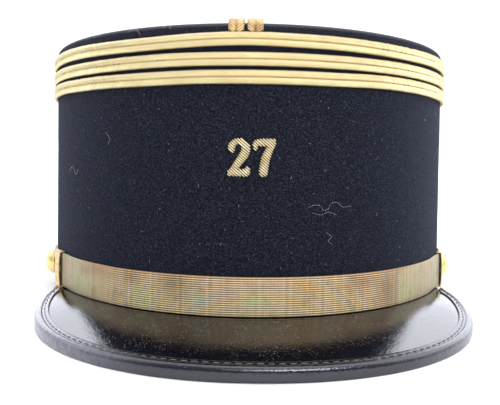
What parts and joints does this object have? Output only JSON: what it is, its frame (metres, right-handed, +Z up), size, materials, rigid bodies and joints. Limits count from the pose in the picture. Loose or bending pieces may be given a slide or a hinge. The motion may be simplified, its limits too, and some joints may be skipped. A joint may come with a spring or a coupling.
{
  "type": "kepi cap",
  "caption": "Stiff oval cloth dress cap with gold braid rings, an embroidered number, a gold lace chin strap between domed buttons and a bound crescent visor of patent leather.",
  "frame": {"origin": "middle of the bounding box, on the surface that the cap rests on", "axes": "+Z up from the resting surface, the visor points to -Y, +X to the left of the wearer"},
  "size_m": [0.1698, 0.2424, 0.1046],
  "materials": {
    "cloth": "matt wool",
    "gold_braid": "metal-thread braid, satin",
    "bullion": "coiled metal thread, satin",
    "gold_lace": "ribbed metal-thread lace, tarnished",
    "gilt": "polished gilt",
    "patent_leather": "high gloss, worn",
    "edge_leather": "gloss, worn grey at the edge"
  },
  "bodies": {
    "root": {"crown_wall": "cloth", "crown_top": "cloth", "braid_lower": "gold_braid", "braid_middle": "gold_braid", "braid_upper": "gold_braid", "front_braid_left": "gold_braid", "front_braid_right": "gold_braid", "numeral_first": "bullion", "numeral_second": "bullion", "chin_strap": "gold_lace", "keeper_left": "gold_lace", "keeper_right": "gold_lace", "button_left": "gilt", "button_right": "gilt", "visor": "patent_leather", "visor_binding": "edge_leather"}
  },
  "joints": []
}
